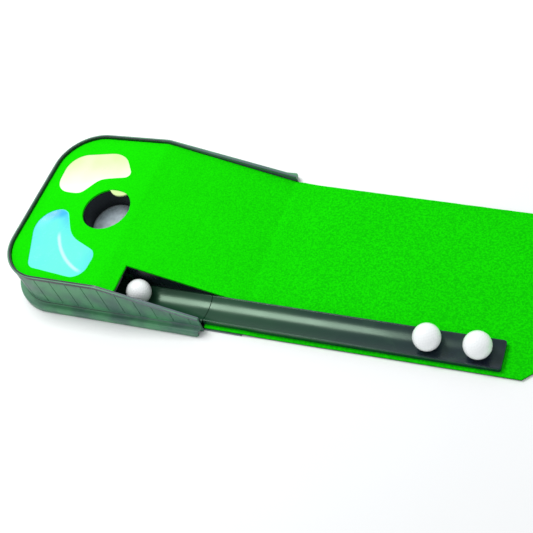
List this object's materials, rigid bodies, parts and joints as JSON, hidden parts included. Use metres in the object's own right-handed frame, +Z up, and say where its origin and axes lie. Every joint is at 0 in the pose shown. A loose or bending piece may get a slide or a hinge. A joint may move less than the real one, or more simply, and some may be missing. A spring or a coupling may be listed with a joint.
{
  "type": "practice putting mat",
  "caption": "Indoor practice putting mat: a moulded wedge base with a cup, sand and water hazards, a turf strip, a ball-return gutter and golf balls.",
  "frame": {"origin": "centre of the whole mat's outline on the floor", "axes": "+X from the hole end to the player's end, +Y from the return-track side to the plain side, +Z up"},
  "size_m": [1.83, 0.354, 0.085],
  "materials": {
    "base_plastic": "satin moulded, near black with a green cast",
    "gutter_plastic": "semi-gloss moulded, near black",
    "turf": "short synthetic pile",
    "backing": "matte foam rubber",
    "sand_plastic": "gloss moulded",
    "water_plastic": "gloss moulded",
    "hook_tape": "hook-and-loop tape",
    "zinc_steel": "zinc plated",
    "foot_rubber": "matte",
    "ball_cover": "gloss dimpled cover"
  },
  "bodies": {
    "base": {"base_shell": "base_plastic", "putting_turf": "turf", "turf_backing": "backing", "sand_insert": "sand_plastic", "water_insert": "water_plastic", "sand_push_nuts": "zinc_steel", "water_push_nuts": "zinc_steel", "cup": "base_plastic", "return_chute": "base_plastic", "outlet_trough": "gutter_plastic", "chute_screws": "zinc_steel", "trough_screws": "zinc_steel", "rubber_feet": "foot_rubber", "hook_strip_rear": "hook_tape", "hook_strip_crest": "hook_tape", "hook_strip_foot": "hook_tape"},
    "track": {"return_track": "gutter_plastic"},
    "ball_1": {"golf_ball_1": "ball_cover"},
    "ball_2": {"golf_ball_2": "ball_cover"},
    "ball_3": {"golf_ball_3": "ball_cover"}
  },
  "joints": [
    {"name": "track_pull_out", "type": "slide", "parent": "base", "child": "track", "axis": [1, 0, 0], "range_m": [0, 0.15]},
    {"name": "ball_1_roll", "type": "slide", "parent": "base", "child": "ball_1", "axis": [0.9999, 0, -0.0105], "range_m": [-0.115, 0.099]},
    {"name": "ball_2_roll", "type": "slide", "parent": "track", "child": "ball_2", "axis": [0.9999, 0, -0.0105], "range_m": [-0.34, 0.015]},
    {"name": "ball_3_roll", "type": "slide", "parent": "track", "child": "ball_3", "axis": [0.9999, 0, -0.0105], "range_m": [-0.016, 0.019]}
  ]
}
